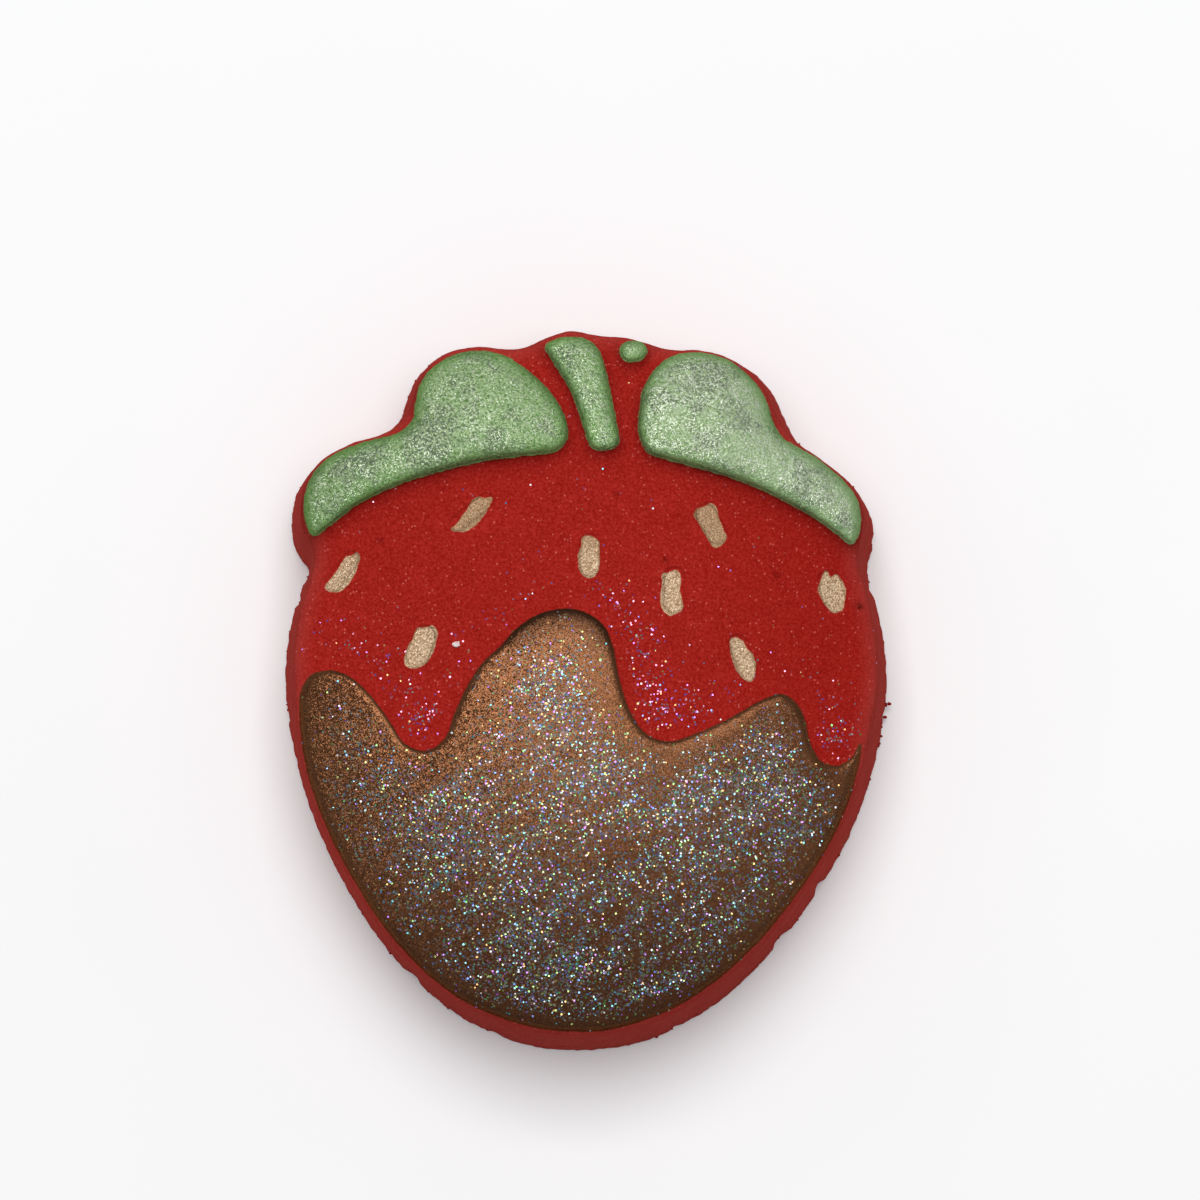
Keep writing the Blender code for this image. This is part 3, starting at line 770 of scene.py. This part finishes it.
def lumps(places, radii, chance):
    """Small uneven closed lumps at the places."""
    shape = bmesh.new()
    bmesh.ops.create_icosphere(shape, subdivisions=2, radius=1.0)
    ball = np.array([vertex.co for vertex in shape.verts])
    sides = [tuple(vertex.index for vertex in face.verts) for face in shape.faces]
    shape.free()
    vertices, faces = [], []
    for place, radius in zip(places, radii):
        swell = 1 + 0.45 * noise_at(ball, 0.9, 2, float(chance.random() * 50))
        stretch = chance.uniform(0.7, 1.15, 3)
        start = len(vertices) * len(ball)
        faces += [tuple(start + i for i in side) for side in sides]
        vertices.append(place + ball * swell[:, None] * stretch * radius)
    return np.vstack(vertices), faces


def add_glitter(vertices, faces, depths, material_for):
    chance = np.random.default_rng(SEED_OF_CHANCE)
    triangles = np.array([face for face in faces if len(face) == 3])
    paint = np.maximum(depths["green"], depths["cream"])
    spots = vertices[triangles].mean(axis=1)
    coat, paint = depths["coat"][triangles].mean(axis=1), paint[triangles].mean(axis=1)
    places, chosen = scatter(vertices, triangles, glitter_density(spots, coat, paint), chance)
    corners = vertices[triangles[chosen]]
    normals = np.cross(corners[:, 1] - corners[:, 0], corners[:, 2] - corners[:, 0])
    normals /= np.linalg.norm(normals, axis=1)[:, None]
    on_coat, on_powder = (
        chance.choice(len(GLITTER_KINDS), len(places), p=[kind[i] for kind in GLITTER_KINDS.values()])
        for i in (0, 1)
    )
    is_on_coat = coat[chosen] > 0
    kinds = np.where(is_on_coat, on_coat, on_powder)
    spread = np.where(is_on_coat, GLITTER_TILT, POWDER_GLITTER_TILT)
    for index, (name, (_, _, dark, light)) in enumerate(GLITTER_KINDS.items()):
        of_kind = kinds == index
        shape = flakes(places[of_kind], normals[of_kind], spread[of_kind], chance)
        add_piece(f"glitter_{name}", *shape, material_for(name, dark, light), smooth=False)


def add_crumbs(vertices, faces, material):
    """Crumbs stuck round the lower wall, and the larger ones on the right of the rim."""
    chance = np.random.default_rng(SEED_OF_CHANCE + 1)
    quads = np.array([face for face in faces if len(face) == 4])
    low = quads[vertices[quads][:, :, 2].max(axis=1) < CRUMBLY_HEIGHT]
    chosen = low[chance.choice(len(low), CRUMB_COUNT)]
    places = vertices[chosen].mean(axis=1)
    radii = chance.uniform(*CRUMB_SIZE, CRUMB_COUNT)
    places[:, 2] = np.maximum(places[:, 2], 1.3 * radii)
    rim = np.array(RIM_CRUMBS)
    places = np.vstack([places, rim[:, :3]])
    radii = np.concatenate([radii, rim[:, 3]])
    add_piece("crumbs", *lumps(places, radii, chance), material)


def add_salt(vertices, material):
    chance = np.random.default_rng(SEED_OF_CHANCE + 2)
    gap = np.hypot(*(vertices[:, :2] - SALT_PLACE).T) + (vertices[:, 2] < CROWN_HEIGHT / 2) * CROWN_HEIGHT
    place = vertices[np.argmin(gap)] + (0, 0, SALT_SIZE / 4)
    shape, faces = lumps([place], [SALT_SIZE], chance)
    flat = (shape - place) * (1.0, 0.66, 0.5) + place
    add_piece("salt_grain", flat, faces, material, smooth=False)


# --- Materials --------------------------------------------------------------------


class Nodes:
    """Builds the node tree of one material around its Principled shader."""

    def __init__(self, name):
        self.material = bpy.data.materials.new(name)
        self.material.use_nodes = True
        self.tree = self.material.node_tree
        self.shader = self.tree.nodes["Principled BSDF"]
        self.place = self.add("ShaderNodeTexCoord").outputs["Object"]

    def add(self, kind, inputs=None, **settings):
        node = self.tree.nodes.new(kind)
        for name, value in settings.items():
            setattr(node, name, value)
        self.feed(node, inputs or {})
        return node

    def feed(self, node, inputs):
        for key, value in inputs.items():
            if isinstance(value, bpy.types.NodeSocket):
                self.tree.links.new(value, node.inputs[key])
            else:
                node.inputs[key].default_value = value

    def math(self, operation, first, second=0.0, third=0.0):
        inputs = {0: first, 1: second, 2: third}
        return self.add("ShaderNodeMath", inputs, operation=operation).outputs[0]

    def reach(self, value, low, high, to_low=0.0, to_high=1.0):
        """The value's range from low to high turned smoothly into another range."""
        inputs = {"Value": value, "From Min": low, "From Max": high, "To Min": to_low, "To Max": to_high}
        return self.add("ShaderNodeMapRange", inputs, interpolation_type="SMOOTHSTEP").outputs[0]

    def mix(self, factor, first, second):
        """A mix of two colours, or of two numbers."""
        is_colour = not isinstance(first, float) and not (
            isinstance(first, bpy.types.NodeSocket) and first.type == "VALUE"
        )
        node = self.add("ShaderNodeMix", data_type="RGBA" if is_colour else "FLOAT")
        kind = "RGBA" if is_colour else "VALUE"
        slots = [socket for socket in node.inputs if socket.type == kind and socket.name in "AB"]
        factor_slot = next(socket for socket in node.inputs if socket.enabled and socket.name == "Factor")
        for socket, value in zip([factor_slot, *slots], [factor, first, second]):
            if isinstance(value, bpy.types.NodeSocket):
                self.tree.links.new(value, socket)
            else:
                socket.default_value = value
        return next(socket for socket in node.outputs if socket.type == kind)

    def noise(self, size, detail=2.0, roughness=0.5, stretch=None):
        """Noise with features of a size in millimetres, from nought to one."""
        place = self.place
        if stretch:
            place = self.add("ShaderNodeMapping", {0: place, "Rotation": stretch[0], "Scale": stretch[1]}).outputs[0]
        inputs = {"Vector": place, "Scale": 1 / (size * MM), "Detail": detail, "Roughness": roughness}
        return self.add("ShaderNodeTexNoise", inputs).outputs["Fac"]

    def cells(self, size):
        """Random cells of a size in millimetres: their colours and distances."""
        node = self.add("ShaderNodeTexVoronoi", {"Vector": self.place, "Scale": 1 / (size * MM)})
        return node.outputs["Color"], node.outputs["Distance"]

    def depth(self, name):
        """How far inside a painted outline the surface lies, in millimetres."""
        return self.add("ShaderNodeAttribute", attribute_name=name).outputs["Fac"]

    def across_and_along(self):
        """How far the surface lies from the middle to the right and towards the leaves."""
        return self.add("ShaderNodeSeparateXYZ", {0: self.place}).outputs[:2]

    def parts(self, colour):
        node = self.add("ShaderNodeSeparateColor", {0: colour})
        return node.outputs[0], node.outputs[1], node.outputs[2]

    def tilt(self, normal, colour, across, along):
        """The normal turned at random in each cell, by one amount in X and one in Y."""
        centre = self.add("ShaderNodeVectorMath", {0: colour, 1: (0.5, 0.5, 0.5)}, operation="SUBTRACT")
        amounts = self.add("ShaderNodeCombineXYZ", {0: across, 1: along, 2: along})
        inputs = {0: centre.outputs[0], 1: amounts.outputs[0]}
        push = self.add("ShaderNodeVectorMath", inputs, operation="MULTIPLY")
        total = self.add("ShaderNodeVectorMath", {0: normal, 1: push.outputs[0]}, operation="ADD")
        return self.add("ShaderNodeVectorMath", {0: total.outputs[0]}, operation="NORMALIZE").outputs[0]

    def bump(self, height, distance, strength=1.0, normal=None):
        inputs = {"Height": height, "Distance": distance * MM, "Strength": strength}
        if normal is not None:
            inputs["Normal"] = normal
        return self.add("ShaderNodeBump", inputs).outputs[0]


def colour(red, green, blue):
    return (red, green, blue, 1.0)


def painted_powder():
    """Red powder with copper, green and cream mica paint where the depths say."""
    n = Nodes("painted_powder")
    coarse = n.noise(2.6, 3.0)
    fine = n.noise(0.26, 3.0, 0.6)
    grain_colour, grain_distance = n.cells(0.3)
    grain_a, grain_b, grain_c = n.parts(grain_colour)

    # The bare powder.
    red = n.mix(n.reach(coarse, 0.3, 0.7), colour(0.295, 0.0105, 0.0075), colour(0.335, 0.0125, 0.009))
    dull, bright = n.mix(0.35, red, colour(0.17, 0.004, 0.003)), n.mix(0.45, red, colour(0.46, 0.036, 0.027))
    red = n.mix(n.reach(fine, 0.34, 0.70), dull, bright)
    across, along = n.across_and_along()
    red = n.mix(n.reach(across, 8 * MM, 24 * MM, 0.0, 0.22), red, colour(0.20, 0.003, 0.002))
    is_pale = n.math("MULTIPLY", n.reach(grain_a, 0.84, 0.98), n.reach(grain_distance, 0.45, 0.15))
    red = n.mix(n.math("MULTIPLY", is_pale, 0.75), red, colour(0.60, 0.13, 0.11))
    is_dark = n.math("MULTIPLY", n.reach(grain_b, 0.95, 0.98), n.reach(grain_distance, 0.45, 0.1))
    red = n.mix(n.math("MULTIPLY", is_dark, 0.6), red, colour(0.12, 0.003, 0.002))

    # The dust and painted sheen of the wall, darker towards -Y, away from the light: painted shade.
    dust_and_sheen = n.mix(n.reach(along, -18 * MM, -34 * MM), colour(0.46, 0.085, 0.070), colour(0.33, 0.075, 0.062))
    dust_and_sheen = n.mix(n.reach(coarse, 0.3, 0.7, 0.37, 0.47), red, dust_and_sheen)
    red = n.mix(n.depth("wall"), red, dust_and_sheen)
    # Painted shade in the creases round the leaves and the stem and in the pits.
    red = n.mix(n.depth("painted_shade"), red, colour(0.02, 0.0, 0.0))

    # The edges of the paint, a little ragged.
    wobble = n.math("MULTIPLY", n.math("SUBTRACT", n.noise(0.7, 3.0, 0.7), 0.5), 0.35)
    coat_depth = n.depth("coat")
    green_depth = n.depth("green")
    cream_depth = n.depth("cream")
    outer = n.math("MAXIMUM", n.reach(along, -9 * MM, -12 * MM), n.reach(n.math("ABSOLUTE", across), 27 * MM, 28 * MM))
    coat_reach = n.math("ADD", coat_depth, n.mix(outer, 0.0, 0.15))
    coat = n.reach(n.math("ADD", coat_reach, n.math("MULTIPLY", wobble, 0.5)), 0.03, 0.2)
    green = n.reach(n.math("ADD", green_depth, wobble), -0.06, 0.06)
    cream = n.reach(n.math("ADD", cream_depth, wobble), -0.05, 0.05)

    # Mica: small flakes that each lie at an angle of their own.
    mica_colour, _ = n.cells(0.095)
    mica_a, mica_b, mica_c = n.parts(mica_colour)

    copper = n.mix(mica_a, colour(0.069, 0.028, 0.0132), colour(0.187, 0.077, 0.034))
    # Painted shade: the copper darkens towards the bottom, where the dome turns away from the light.
    copper = n.mix(n.reach(along, -18 * MM, -36 * MM, 0.0, 0.45), copper, colour(0.042, 0.017, 0.010))
    # Painted shade: the copper is darker in a band along the upper edge of the coating's middle hill.
    hilltop = n.reach(along, 1.0 * MM, 5.0 * MM)
    hilltop_shade = n.math("MULTIPLY", n.reach(coat_depth, 3.4, 0.3), n.math("MULTIPLY", hilltop, 0.8))
    copper = n.mix(hilltop_shade, copper, colour(0.03, 0.014, 0.008))
    copper = n.mix(n.reach(n.noise(4.0, 4.0), 0.52, 0.7, 0.0, 0.3), copper, colour(0.06, 0.022, 0.012))

    # Fine dim flakes of film that lie too flat or too low to flash.
    film_colour, _ = n.cells(0.15)
    film_a, film_b, _ = n.parts(film_colour)
    film = n.mix(n.reach(film_b, 0.2, 0.45), colour(0.14, 0.10, 0.10), colour(0.12, 0.108, 0.105))
    film = n.mix(n.reach(film_b, 0.6, 0.8), film, colour(0.11, 0.118, 0.085))
    is_film = n.math("LESS_THAN", film_a, n.depth("film"))
    copper = n.mix(n.math("MULTIPLY", is_film, 0.85), copper, film)

    # The leaves: pearly green, brushed on thick, with grey gaps and bright flakes.
    flake_colour, _ = n.cells(0.13)
    flake_a, _, _ = n.parts(flake_colour)
    wrinkle = n.noise(0.28, 4.0, 0.65)
    stroke = n.noise(1.1, 3.0, 0.6)
    patch = n.noise(3.4, 4.0, 0.6)
    right = n.reach(across, -6 * MM, 8 * MM)
    pearl = n.reach(across, -4 * MM, 26 * MM, 0.05, 0.6)
    leaf = n.mix(n.reach(wrinkle, 0.34, 0.60), colour(0.088, 0.20, 0.045), colour(0.31, 0.43, 0.21))
    leaf = n.mix(pearl, leaf, colour(0.37, 0.47, 0.29))
    leaf = n.mix(n.reach(across, -14 * MM, -24 * MM, 0.0, 0.3), leaf, colour(0.10, 0.19, 0.06))
    leaf = n.mix(n.reach(stroke, 0.55, 0.75, 0.0, 0.4), leaf, colour(0.16, 0.30, 0.10))
    is_grey = n.math("MULTIPLY", n.reach(patch, 0.44, 0.60), n.reach(wrinkle, 0.58, 0.48))
    leaf = n.mix(n.math("MULTIPLY", is_grey, 0.7), leaf, colour(0.12, 0.135, 0.115))
    least = n.mix(right, 0.70, 0.60)
    is_flake = n.math("MULTIPLY", n.reach(flake_a, least, n.math("ADD", least, 0.06)), n.reach(green_depth, 0.15, 1.0))
    is_flake = n.math("MULTIPLY", is_flake, n.reach(n.noise(1.8, 2.0), 0.3, 0.6, 0.35, 1.0))
    leaf = n.mix(n.math("MULTIPLY", is_flake, 0.9), leaf, n.mix(right, colour(0.54, 0.63, 0.45), colour(0.68, 0.75, 0.59)))
    # Painted shade: a deeper, darker green towards each leaf's edge, where its sides slope away.
    leaf = n.mix(n.reach(green_depth, 1.8, 0.1), leaf, n.mix(0.42, leaf, colour(0.085, 0.25, 0.030)))

    tan = n.mix(n.reach(n.noise(0.22, 3.0, 0.6), 0.35, 0.66), colour(0.335, 0.205, 0.112), colour(0.71, 0.54, 0.365))
    tan = n.mix(n.reach(along, 11.5 * MM, 15 * MM, 0.0, 0.6), tan, colour(0.30, 0.165, 0.08))
    seed = n.mix(n.reach(cream_depth, 0.35, 0.0, 0.0, 0.45), tan, colour(0.30, 0.17, 0.08))

    base = n.mix(coat, red, copper)
    base = n.mix(green, base, leaf)
    base = n.mix(cream, base, seed)

    metallic = n.mix(coat, 0.0, 0.68)
    metallic = n.mix(green, metallic, n.mix(is_flake, 0.35, 0.85))
    metallic = n.mix(cream, metallic, n.reach(flake_a, 0.3, 0.8, 0.1, 0.6))

    leaf_or_seed = n.math("MAXIMUM", green, cream)
    is_paint = n.math("MAXIMUM", coat, leaf_or_seed)
    rough = n.mix(is_paint, 0.9, n.mix(coat, 0.29, 0.30))

    normal = n.bump(n.noise(0.55, 3.0, 0.65), 0.16, n.depth("wall"))
    normal = n.bump(fine, 0.05, n.mix(is_paint, 1.0, 0.25), normal)
    normal = n.bump(stroke, 0.22, n.math("MULTIPLY", green, 0.8), normal)
    normal = n.bump(wrinkle, 0.15, leaf_or_seed, normal)
    normal = n.tilt(normal, mica_colour, n.math("MULTIPLY", coat, 0.45), n.math("MULTIPLY", coat, 0.15))
    flake_tilt = n.math("MULTIPLY", green, n.mix(is_flake, 0.15, 0.52))
    flake_tilt = n.math("MAXIMUM", flake_tilt, n.math("MULTIPLY", cream, 0.36))
    normal = n.tilt(normal, flake_colour, flake_tilt, flake_tilt)

    n.feed(n.shader, {
        "Base Color": base,
        "Metallic": metallic,
        "Roughness": rough,
        "Normal": normal,
        "Specular IOR Level": 0.0,
        "Specular Tint": colour(0.35, 0.28, 0.22),
    })
    return n.material


def glitter_film(name, dark, light):
    """Iridescent film, whose shade runs between two of its colours."""
    n = Nodes(f"glitter_{name}")
    tone = n.mix(n.reach(n.noise(0.8, 1.0), 0.35, 0.65), colour(*dark), colour(*light))
    n.feed(n.shader, {"Base Color": tone, "Metallic": 0.6, "Roughness": 0.18})
    return n.material


def loose_powder():
    n = Nodes("loose_powder")
    tone = n.mix(n.reach(n.noise(0.15, 2.0), 0.3, 0.7), colour(0.18, 0.006, 0.004), colour(0.30, 0.016, 0.011))
    normal = n.bump(n.noise(0.08, 2.0), 0.02, 0.6)
    n.feed(n.shader, {"Base Color": tone, "Roughness": 0.9, "Normal": normal, "Specular IOR Level": 0.0})
    return n.material


def salt():
    n = Nodes("salt")
    tone = n.mix(n.reach(n.noise(0.2, 2.0), 0.35, 0.65), colour(0.62, 0.42, 0.40), colour(0.92, 0.86, 0.86))
    n.feed(n.shader, {"Base Color": tone, "Roughness": 0.25})
    return n.material


def floor_material():
    n = Nodes("floor_paper")
    tone = n.mix(n.noise(40.0, 2.0), colour(0.88, 0.88, 0.885), colour(0.91, 0.91, 0.912))
    n.feed(n.shader, {"Base Color": tone, "Roughness": 0.9, "Specular IOR Level": 0.1})
    return n.material


# --- Light, floor and camera ------------------------------------------------------


def aim(thing, target):
    thing.rotation_euler = (Vector(target) - thing.location).to_track_quat("-Z", "Y").to_euler()


def add_light(name, place, size, power, tint=(1.0, 1.0, 1.0)):
    light = bpy.data.lights.new(name, "AREA")
    light.shape = "RECTANGLE"
    light.size, light.size_y = size
    light.energy = power
    light.color = tint
    lamp = bpy.data.objects.new(name, light)
    lamp.location = place
    bpy.context.scene.collection.objects.link(lamp)
    aim(lamp, (0, 0, 0.01))
    return lamp


def add_studio():
    world = bpy.data.worlds.new("studio")
    world.use_nodes = True
    back = world.node_tree.nodes["Background"]
    back.inputs["Color"].default_value = (0.97, 0.98, 1.0, 1.0)
    back.inputs["Strength"].default_value = 0.30
    bpy.context.scene.world = world
    add_light("overhead_softbox", (0.0, 0.27, 1.2), (0.68, 0.90), 13.6)
    bpy.ops.mesh.primitive_grid_add(x_subdivisions=8, y_subdivisions=8, size=6.0)
    floor = bpy.context.object
    floor.name = "floor"
    floor.data.materials.append(floor_material())
    bpy.context.scene.view_settings.view_transform = "Standard"


def add_camera():
    camera = bpy.data.cameras.new("camera")
    camera.sensor_width = SENSOR_WIDTH
    camera.lens = SENSOR_WIDTH * CAMERA_DISTANCE / VIEW_WIDTH
    camera.clip_start = 0.01
    holder = bpy.data.objects.new("camera", camera)
    angle = math.radians(CAMERA_ELEVATION)
    away = Vector((0, -math.cos(angle), math.sin(angle)))
    target = Vector(CAMERA_TARGET)
    holder.location = (target + CAMERA_DISTANCE * away) * MM
    aim(holder, target * MM)
    bpy.context.scene.collection.objects.link(holder)
    bpy.context.scene.camera = holder


vertices, faces, depths = body_mesh()
vertices = centred(vertices)
add_piece("painted_body", vertices, faces, painted_powder(), depths)
add_glitter(vertices, faces, depths, glitter_film)
add_crumbs(vertices, faces, loose_powder())
add_salt(vertices, salt())
add_studio()
add_camera()
